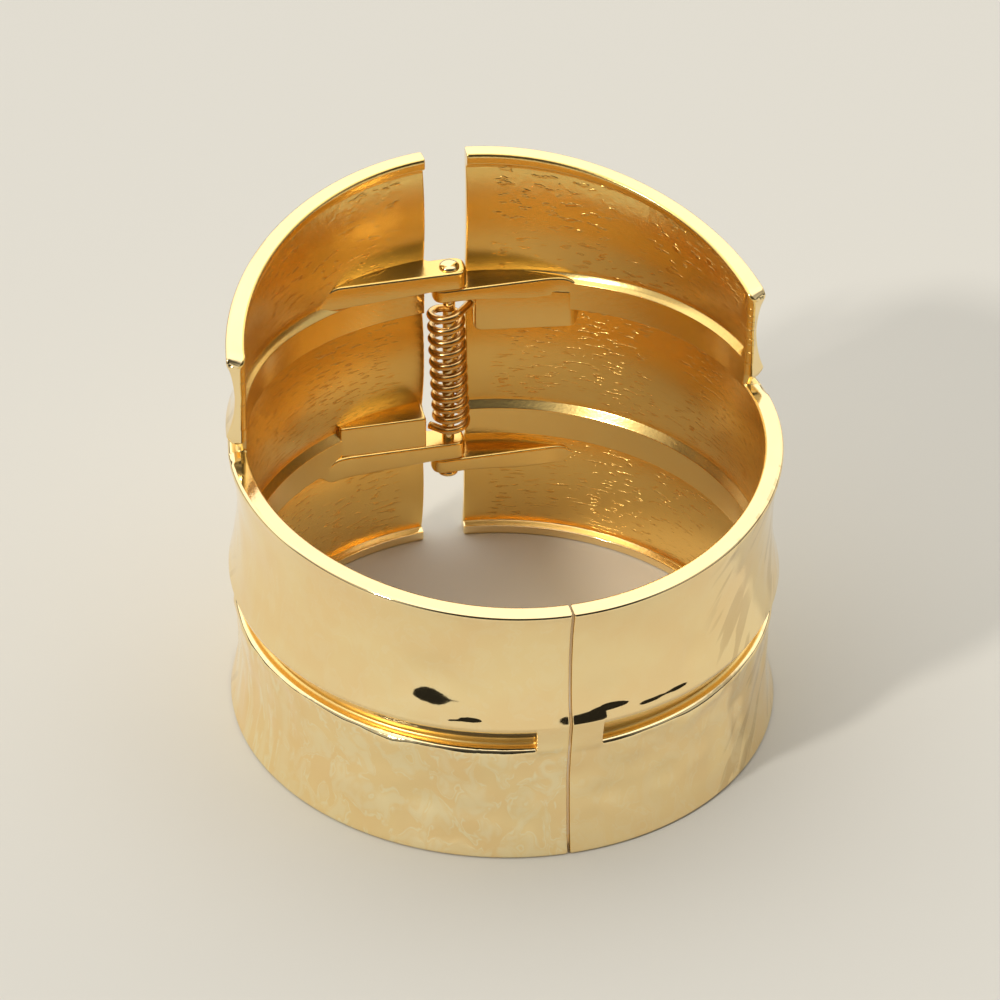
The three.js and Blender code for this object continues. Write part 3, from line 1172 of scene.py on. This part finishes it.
@dataclass
class HalfRing:
    """One cast half: wall, rims, ribs and grooves, with its ears and its block or pad."""

    side: Side
    ring: Ring = field(default_factory=Ring)
    hammer: Hammer = field(default_factory=Hammer)
    column_mm: float = 0.68  # between columns, along the outside
    row_mm: float = 0.55  # between rows
    least_mm: float = 0.025  # between two columns or rows, except at an edge
    end_columns: int = 6  # gathered on each side of an end
    step_columns: int = 9  # gathered on each side of the step
    edge_rows: int = 7  # gathered on each side of an edge
    outer_soft: float = 0.03  # half the height that the outer profile is averaged over
    inner_soft: float = 0.05  # the same for the inner profile
    groove_soft: float = 0.08  # half the length in which a groove's end closes
    groove_ahead: tuple = (0.06, 0.05)  # angles before the step where the upper groove opens
    ear_back: float = 29.9
    ear_turn: tuple = (0.6, 0.3)  # before and past the gap's edge, where its back joins the wall
    ear_end: float = 1.95
    ear_tip: float = 14.4
    ear_start: float = 16.4
    ear_sink: float = 0.03  # how deep the tip's front lies in the wall
    tip_drop: float = 1.0
    tip_drop_from: float = 13.3
    tip_round: float = 0.02
    ear_round: float = 1.3
    ear_bevel: float = 0.34
    root_inset: float = 1.3  # how far from the outside the backs of ears and bosses lie
    step_roll: float = 0.2
    step_fillet: float = 0.75
    step_lean: float = 0.5  # how far the step's inner corner leans forward
    lean_reach: float = 1.5
    top_end_roll: float = 0.95  # radius of the top rim's end at the step
    bright_roof: float = 0.2  # share of a groove's upper side, from its lip, that isn't satin
    strip_shares: tuple = (0.0, 0.01, 0.04, 0.12, 0.5, 0.88, 0.96, 0.99, 1.0)  # lines across a strip

    def __post_init__(self) -> None:
        """Sets the rows' heights, the columns' angles and how far past the step each column is."""
        self.height = self.rows()[:, None]
        self.angle = self.columns()
        self.past = (self.angle - self.ring.step_angle) * self.ring.radius

    @property
    def name(self) -> str:
        """The CAD node that this piece stands for."""
        return "left_half" if self.side is Side.LEFT else "right_half"

    @property
    def groove_front(self) -> float:
        """Angle of the lower groove's front end."""
        return -self.ring.angle_at(self.ring.groove_end)

    @property
    def groove_back(self) -> float:
        """Angle of the grooves' back end."""
        return self.ring.angle_at(self.ring.half_gap + self.ring.groove_end)

    def columns(self) -> Array:
        """Angles of the columns, closer together at the ends, the step and the grooves' ends.

        Returns:
            Angles in order.
        """
        ring = self.ring
        start, end = -ring.angle_at(ring.half_seam), ring.angle_at(ring.half_gap)
        even = np.linspace(start, end, int((end - start) * ring.radius / self.column_mm))
        places = [start, end, self.groove_front, self.groove_back]
        least = self.least_mm / ring.radius
        found = refined(even, places, ring.edge_radius / ring.radius, self.end_columns, least)
        reach = self.step_fillet / ring.radius
        return refined(found, [ring.step_angle], reach, self.step_columns, least)

    def rows(self) -> Array:
        """Heights of the rows, closer together at every edge of the section.

        Returns:
            Heights in order.
        """
        ring = self.ring
        even = np.linspace(0.0, ring.top_rim, int(ring.top_rim / self.row_mm))
        places = [0.0, ring.front_rim, ring.top_rim]
        for groove in ring.grooves:
            places += [groove.low, groove.high - ring.fall(groove), groove.high]
        for hollow in ring.hollows:
            places += [hollow.low, hollow.low - hollow.ledge, hollow.high,
                       hollow.high + ring.overhang]
        return refined(even, places, ring.lip_radius, self.edge_rows, self.least_mm)

    @property
    def middle(self) -> Array:
        """Heights of the middles of the rows of faces, in a column."""
        return (self.height[:-1] + self.height[1:]) / 2

    @property
    def opened(self) -> tuple:
        """How far the grooves are open at each column.

        They are shut near the seam, in front of the step and near the gap.

        Returns:
            The lower and the upper groove's openings, from 0 to 1, each in a row.
        """
        soft = self.groove_soft / self.ring.radius
        lower = smooth_step(self.angle, self.groove_front - soft, self.groove_front + soft)
        closing = 1.0 - smooth_step(self.angle, self.groove_back - soft, self.groove_back + soft)
        ahead = (self.ring.step_angle - lead for lead in self.groove_ahead)
        return lower * closing, smooth_step(self.angle, *ahead) * closing

    def groove_faces(self) -> Array:
        """Which faces of the outside are a groove's ledge, floor or the steep part of its roof.

        Returns:
            True for those faces, one fewer each way than the rows and columns.
        """
        found = np.zeros((self.height.size - 1, self.angle.size - 1), bool)
        for groove, opened in zip(self.ring.grooves, self.opened):
            roof = self.bright_roof * self.ring.fall(groove)
            rows = (self.middle > groove.low) & (self.middle < groove.high - roof)
            found |= rows & (opened[1:] > 0.5)
        return found

    def step_rolls(self) -> tuple:
        """The step's rolled outer corner, its inner fillet and its flange, above the front rim.

        Returns:
            Insets to add outside and to take off inside, and the share of the flange.
        """
        ring, past = self.ring, self.past
        above = (self.height > ring.front_rim) & (past > -TINY)
        outside = np.where(above, edge_roll(past, self.step_roll), 0.0)
        inside = np.where(above, edge_roll(past, self.step_fillet), 0.0)
        faded = ring.flange_length + ring.flange_fade
        return outside, inside, (1.0 - smooth_step(past, ring.flange_length, faded)) * above

    def rims(self, radius: float) -> Array:
        """Roll of both upper rims.

        Args:
            radius: the radius of their edges.

        Returns:
            Insets, rows by columns.
        """
        ring, height = self.ring, self.height
        in_front = (height <= ring.front_rim) & (self.angle < ring.step_angle - TINY)
        low = edge_roll(ring.front_rim - height, radius) * in_front
        return low + edge_roll(ring.top_rim - height, radius)

    def skins(self) -> tuple:
        """The wall's two surfaces.

        Returns:
            Outer points and inner points, each rows by columns by 3.
        """
        ring, height, angle, past = self.ring, self.height, self.angle, self.past
        to_end = np.minimum(angle - angle[0], angle[-1] - angle) * ring.radius
        end_roll = edge_roll(to_end, ring.edge_radius)
        step_outside, step_inside, flange = self.step_rolls()
        outer = softened(partial(ring.outside, opened=self.opened), height, self.outer_soft)
        outer = outer + self.hammer.depth(ring, height, angle, self.side)
        inner = softened(ring.inside, height, self.inner_soft) * np.ones_like(angle)
        inner = inner + np.maximum(ring.flange_inset - inner, 0.0) * flange
        rim, rim_inner = (self.rims(radius) for radius in ring.rim_radii)
        base, base_inner = (edge_roll(height, radius) for radius in ring.base_radii)
        outer = outer + rim + base + end_roll + step_outside
        inner = inner - rim_inner - base_inner - end_roll - step_inside
        outer, inner = (ring.point(inset, height, angle) for inset in (outer, inner))
        forward = np.clip(1.0 - past / self.lean_reach, 0.0, 1.0) * (past > -TINY)
        above = np.clip((height - ring.front_rim) / self.lean_reach, 0.0, 1.0)
        inner[..., 1] -= self.step_lean * above * forward
        share = np.clip(1.0 + (height - ring.top_rim) / (2.0 * self.top_end_roll), 0.0, 1.0)
        drop = share * np.where(past > -TINY, edge_roll(past, self.top_end_roll), 0.0)
        outer[..., 2] -= drop
        inner[..., 2] -= drop
        return outer, inner

    def inner_zones(self) -> dict:
        """Where the inner skin's finishes lie.

        Returns:
            For each finish, True for its rows of faces.
        """
        brushed = np.zeros(self.middle.shape, bool)
        for hollow in self.ring.hollows:
            brushed |= (self.middle > hollow.low) & (self.middle < hollow.high)
        foot = self.middle < self.ring.hollows[0].low
        return {Zone.BRUSHED: brushed, Zone.DEEP: ~brushed & ~foot, Zone.POLISHED: foot}

    def wall(self, skin: Skin) -> None:
        """Adds the wall: both skins, the flat strips that join them, and the end faces.

        Args:
            skin: the mesh it goes into.
        """
        outer, inner = (points * self.side.mirror for points in self.skins())
        turned = self.side is Side.LEFT
        rim = int(np.argmin(np.abs(self.height - self.ring.front_rim)))
        step = int(np.argmin(np.abs(self.past)))
        uv = surface_map(self.side.value * self.angle * self.ring.radius, self.height)
        deep = self.groove_faces()
        below, behind = (np.arange(count) for count in deep.shape)
        real = (below < rim)[:, None] | (behind >= step)
        skin.grid(outer, uv, Zone.HAMMERED, keep=real & ~deep, flip=turned)
        skin.grid(outer, uv, Zone.GROOVE, keep=real & deep, flip=turned)
        for zone, rows in self.inner_zones().items():
            skin.grid(inner, uv, zone, keep=real & rows, flip=not turned)
        front, back = slice(0, step + 1), slice(step, None)
        low, high = slice(0, rim + 1), slice(rim, None)
        faces = (((0, slice(None)), not turned), ((rim, front), turned), ((-1, back), turned),
                 ((low, 0), turned), ((high, step), turned), ((slice(None), -1), not turned))
        shares = np.array(self.strip_shares)[:, None, None]
        for place, flip in faces:
            points = outer[place] * (1.0 - shares) + inner[place] * shares
            maps = np.broadcast_to(uv[place], (len(shares), *uv[place].shape))
            skin.grid(points, maps, Zone.POLISHED, flip=flip)

    def ear(self, shape: Ear) -> RoundedBar:
        """An ear: straight in front, round at the pin, its back in the wall and thicker there.

        Args:
            shape: its sizes.

        Returns:
            The bar.
        """
        gap = self.ring.half_gap

        def back(x: Array) -> Array:
            """Round the pin first, and then in the wall."""
            share = smooth_step(-x, gap - self.ear_turn[0], gap + self.ear_turn[1])
            return self.ear_back + (self.ring.oval(x, self.root_inset) - self.ear_back) * share

        def under(x: Array) -> Array:
            """Level at the pin, sinking evenly from the gap, and rising at the tip."""
            sag = shape.sag * np.clip((-x - gap) / (shape.sag_end - gap), 0.0, 1.0)
            return shape.bottom - sag + shape.rise * smooth_step(-x, self.ear_tip, self.ear_start)

        def front(x: Array) -> Array:
            """Straight, then into the wall with a fillet: min(f, w) - (k - |f - w|)^2 / 4k.

            Args:
                x: places along the ear.

            Returns:
                Its front face there.
            """
            wall = self.ring.oval(x, shape.wall_inset) + self.ear_sink
            near = np.clip(shape.blend - np.abs(wall - shape.front), 0.0, None)
            return np.minimum(wall, shape.front) - near ** 2 / (4.0 * shape.blend)

        def over(x: Array) -> Array:
            """Level, and sinking at the tip."""
            return shape.top - self.tip_drop * smooth_step(-x, self.tip_drop_from, self.ear_start)

        return RoundedBar(-self.ear_start, self.ear_end, front, back, under, over,
                          corner=self.ear_bevel, start_round=self.tip_round,
                          end_round=self.ear_round)

    def boss(self, shape: Boss) -> RoundedBar:
        """A raised block or pad: a straight face with its back in the wall.

        Args:
            shape: its sizes.

        Returns:
            The bar.
        """

        def share(x: Array) -> Array:
            """How far a place is from the near end to the far one."""
            return (-x - shape.near) / (shape.far - shape.near)

        def front(x: Array) -> Array:
            """Straight from its near end to its far end, where it can fade into the wall."""
            faded = shape.fade * smooth_step(-x, shape.far - shape.fade_length, shape.far)
            return shape.near_y + (shape.far_y - shape.near_y) * share(x) + faded

        def back(x: Array) -> Array:
            """In the wall."""
            return np.maximum(self.ring.oval(x, self.root_inset), front(x) + shape.least_depth)

        def under(x: Array) -> Array:
            """Climbing evenly to the far end, with a round corner at the near one."""
            corner = edge_roll(-x - shape.near, shape.near_corner)
            return shape.bottom + shape.climb * share(x) + corner

        def over(x: Array) -> Array:
            """Level."""
            return np.full_like(x, shape.top)

        return RoundedBar(-shape.far, -shape.near, front, back, under, over)

    def build(self, finishes: list) -> bpy.types.Object:
        """Builds the piece and joins it to the frame.

        Args:
            finishes: the materials, in the order of Zone.

        Returns:
            The piece.
        """
        skin = Skin(self.name + "_cast")
        self.wall(skin)
        for shape in EARS[self.side]:
            self.ear(shape).add_to(skin, self.side)
        self.boss(BOSSES[self.side]).add_to(skin, self.side)
        piece = skin.mesh(finishes)
        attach(piece, "left" if self.side is Side.LEFT else "right")
        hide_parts(self.name)
        return piece


# ---- the hinge ----


@dataclass
class HingePin:
    """The rod through the ears, with a domed and dimpled head and a flat foot."""

    rod_radius: float = 0.75
    head_radius: float = 1.2
    head_height: float = 0.6
    foot_height: float = 0.5
    foot_bevel: float = 0.12
    foot_z: float = 11.55
    head_z: float = 40.45
    sides: int = 48
    dome_steps: int = 12
    rod_steps: int = 20

    def profile(self) -> Array:
        """Radius and height from the foot's middle up to the head's middle.

        The head is a quarter ellipse, (r cos a, h sin a), that ends in a shallow dimple.

        Returns:
            Its points, each a radius and a height.
        """
        climb = np.linspace(0.0, math.pi / 2, self.dome_steps)[:-1]
        dome = np.stack([self.head_radius * np.cos(climb),
                         self.head_z + self.head_height * np.sin(climb)], axis=1)
        low, bevel = self.foot_z - self.foot_height, self.foot_bevel
        foot = [(0.0, low), (self.head_radius - bevel, low), (self.head_radius, low + bevel),
                (self.head_radius, self.foot_z), (self.rod_radius, self.foot_z)]
        rod = np.stack([np.full(self.rod_steps, self.rod_radius),
                        np.linspace(self.foot_z, self.head_z, self.rod_steps)], axis=1)
        return np.concatenate([foot, rod, dome, [(0.0, self.head_z + self.head_height)]])

    def build(self, finish: bpy.types.Material) -> bpy.types.Object:
        """Builds the pin, its profile turned about the hinge's axis, and joins it to the frame.

        Args:
            finish: the plate's material.

        Returns:
            The piece.
        """
        radius, height = self.profile().T[:, :, None]
        turn = np.linspace(0.0, 2 * math.pi, self.sides + 1)
        z = np.broadcast_to(height, (height.size, turn.size))
        points = [radius * np.cos(turn), HINGE_Y + radius * np.sin(turn), z]
        uv = surface_map(turn * self.rod_radius, z)
        skin = Skin("hinge_pin_turned")
        skin.grid(np.stack(points, axis=-1), uv, Zone.POLISHED)
        piece = skin.mesh([finish])
        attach(piece, "left")
        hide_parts("hinge_pin")
        return piece


@dataclass
class TorsionSpring:
    """Round wire wound about the pin, with a straight leg at each end."""

    mean_radius: float = 1.8
    wire_radius: float = 0.48
    bottom: float = 18.1
    top: float = 34.5
    turns: float = 10.25
    start: float = -3 * math.pi / 4
    spread: float = 0.1  # how much wider the upper turns are spaced
    lean: float = 0.4  # how far either way the coil leans across the rod
    lower_leg: float = 1.9
    upper_leg: float = 2.6
    leg_from: float = 0.3  # from the coil's end to a leg's first point
    leg_steps: int = 6
    per_turn: int = 40
    sides: int = 20

    def route(self) -> tuple:
        """The middle of the wire: a coil that leans from one side to the other, with tangent legs.

        It is (lean + r cos a - s sin a, r sin a + s cos a, z), where a is the angle turned and s the
        length run past either end of the coil. z climbs as t (1 - g + g t) with the share t turned.

        Returns:
            Its points, and the direction out from the coil's axis at each.
        """
        steps, legs = int(self.per_turn * self.turns), self.leg_steps
        turned = np.concatenate([np.zeros(legs), np.linspace(0, 1, steps), np.ones(legs)])
        past = np.concatenate([np.linspace(-self.lower_leg, -self.leg_from, legs), np.zeros(steps),
                               np.linspace(self.leg_from, self.upper_leg, legs)])
        angle = self.start + turned * (2 * math.pi * self.turns)
        out = np.stack([np.cos(angle), np.sin(angle), np.zeros_like(angle)], axis=1)
        tangent = np.stack([-np.sin(angle), np.cos(angle), np.zeros_like(angle)], axis=1)
        centre = self.mean_radius * out + past[:, None] * tangent
        centre[:, 0] += self.lean * (1.0 - 2.0 * turned)
        centre[:, 1] += HINGE_Y
        climb = turned * (1.0 - self.spread + self.spread * turned)
        centre[:, 2] = self.bottom + climb * (self.top - self.bottom)
        return centre, out

    def build(self, finish: bpy.types.Material) -> bpy.types.Object:
        """Builds the spring, its place baked into its mesh.

        A circle is carried along the route, in the plane of the direction out and that direction's
        cross product with the route.

        Args:
            finish: the wire's material.

        Returns:
            The piece.
        """
        centre, out = self.route()
        way = np.gradient(centre, axis=0)
        way /= np.linalg.norm(way, axis=1, keepdims=True)
        lift = np.cross(way, out)
        ring = np.linspace(0.0, 2 * math.pi, self.sides + 1)
        points = centre[:, None] + self.wire_radius * (
            np.cos(ring)[None, :, None] * out[:, None] + np.sin(ring)[None, :, None] * lift[:, None])
        caps = [np.broadcast_to(centre[end], (1, ring.size, 3)) for end in (0, -1)]
        points = np.concatenate([caps[0], points, caps[1]])
        length = np.concatenate([[0.0], np.cumsum(np.linalg.norm(np.diff(centre, axis=0), axis=1))])
        length = np.concatenate([length[:1], length, length[-1:]])
        uv = surface_map(length[:, None], ring * self.wire_radius)
        skin = Skin("torsion_spring_wire")
        skin.grid(points, uv, Zone.POLISHED)
        piece = skin.mesh([finish])
        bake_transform(piece)
        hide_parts("torsion_spring")
        return piece


# ---- the studio ----


@dataclass
class Studio:
    """Plain floor, soft light and the camera."""

    azimuth: float = math.radians(-14.0)
    elevation: float = math.radians(36.0)
    roll: float = math.radians(0.71)
    distance: float = 734.4
    lens: float = 231.06
    sensor: float = 36.0
    clip: tuple = (0.01, 50.0)
    target_z: float = 24.0
    shift_right: float = -0.518
    shift_up: float = 2.150
    floor_half: float = 3000.0
    sun_travel: tuple = (0.875, 0.475)
    sun_elevation: float = math.radians(35.5)
    sun_width: float = math.radians(5.0)
    sun_energy: float = 1.2
    sun_tint: tuple = (1.0, 0.97, 0.92)
    sky_tint: tuple = (1.0, 0.985, 0.95, 1.0)
    screen: float = 1.40
    screen_along: tuple = (0.0, 0.35)
    screen_up: tuple = (0.08, 0.22)
    facing: tuple = (0.22, 0.60)
    overhead: float = 1.5
    overhead_up: tuple = (0.60, 0.82)
    sides: float = 0.50
    sides_across: tuple = (0.45, 0.85)
    sides_up: tuple = (0.10, 0.30)
    horizon: float = 0.02
    haze: float = 0.35
    haze_up: tuple = (0.12, 0.60)
    haze_less_in_front: float = 0.31

    def camera(self) -> None:
        """Adds the camera, aimed a little beside the target and rolled a little."""
        sin_a, cos_a = math.sin(self.azimuth), math.cos(self.azimuth)
        sin_e, cos_e = math.sin(self.elevation), math.cos(self.elevation)
        back = np.array([sin_a * cos_e, -cos_a * cos_e, sin_e])
        right = np.array([cos_a, sin_a, 0.0])
        up = np.cross(back, right)
        target = np.array([0, 0, self.target_z]) + right * self.shift_right + up * self.shift_up
        eye = (target + back * self.distance) * MM
        cos_r, sin_r = math.cos(self.roll), math.sin(self.roll)
        data = bpy.data.cameras.new("camera")
        data.lens = self.lens
        data.sensor_width = self.sensor
        data.clip_start, data.clip_end = self.clip
        axes = (right * cos_r + up * sin_r, up * cos_r - right * sin_r, back)
        bpy.context.scene.camera = placed("camera", data, axes, eye)

    def floor(self) -> None:
        """Adds the floor under the lower rim."""
        half = self.floor_half * MM
        corners = [(-half, -half, 0), (half, -half, 0), (half, half, 0), (-half, half, 0)]
        mesh = bpy.data.meshes.new("floor")
        mesh.from_pydata(corners, [], [(0, 1, 2, 3)])
        mesh.materials.append(PaleFloor().make())
        placed("floor", mesh)

    def sun(self) -> None:
        """Adds the main light, from the left and in front."""
        data = bpy.data.lights.new("key", "SUN")
        data.energy = self.sun_energy
        data.angle = self.sun_width
        data.color = self.sun_tint
        flat = np.array([*self.sun_travel, 0.0]) / np.hypot(*self.sun_travel)
        back = -flat * math.cos(self.sun_elevation)
        back[2] = math.sin(self.sun_elevation)
        side = np.cross([0, 0, 1.0], back)
        side /= np.linalg.norm(side)
        placed("key", data, (side, np.cross(back, side), back))

    def sky(self) -> None:
        """Sets the surroundings: a bright screen behind and overhead, and a dark side in front."""
        world = bpy.data.worlds.new("studio")
        bpy.context.scene.world = world
        tree = Tree(world)
        way = tree.node("ShaderNodeTexCoord", {}, {}, "Generated")
        across, along, up = (tree.part(way, axis) for axis in "XYZ")
        screen = self.screen * (along.between(*self.screen_along) * up.between(*self.screen_up))
        facing = (-1.0 * along).between(*self.facing)
        overhead = self.overhead * (up.between(*self.overhead_up) * (1.0 - facing))
        beside = across.size().between(*self.sides_across) * up.between(*self.sides_up)
        haze = up.between(*self.haze_up) * (self.haze - self.haze_less_in_front * facing)
        light = screen.larger(overhead).larger((self.sides * beside).larger(self.horizon + haze))
        glow = tree.node("ShaderNodeBackground", {}, {"Color": self.sky_tint, "Strength": light})
        tree.node("ShaderNodeOutputWorld", {}, {"Surface": glow}, None)

    def build(self) -> None:
        """Adds everything round the bangle."""
        self.camera()
        self.floor()
        self.sun()
        self.sky()
        bpy.context.scene.view_settings.view_transform = "Standard"


def main() -> None:
    """Builds the bangle in order and reports each piece."""
    logging.basicConfig(level=logging.INFO, format="%(name)s: %(message)s")
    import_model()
    Studio().build()
    golds = (PolishedGold(), HammeredGold(), BrushedGold(), DeepGold(), GrooveGold())
    finishes = [gold.make() for gold in golds]
    pieces = [HalfRing(side).build(finishes) for side in Side]
    pieces.append(HingePin().build(finishes[Zone.POLISHED.value]))
    pieces.append(TorsionSpring().build(WireGold().make()))
    for piece in pieces:
        LOG.info("%s: %d faces", piece.name, len(piece.data.polygons))


if __name__ == "__main__":
    main()
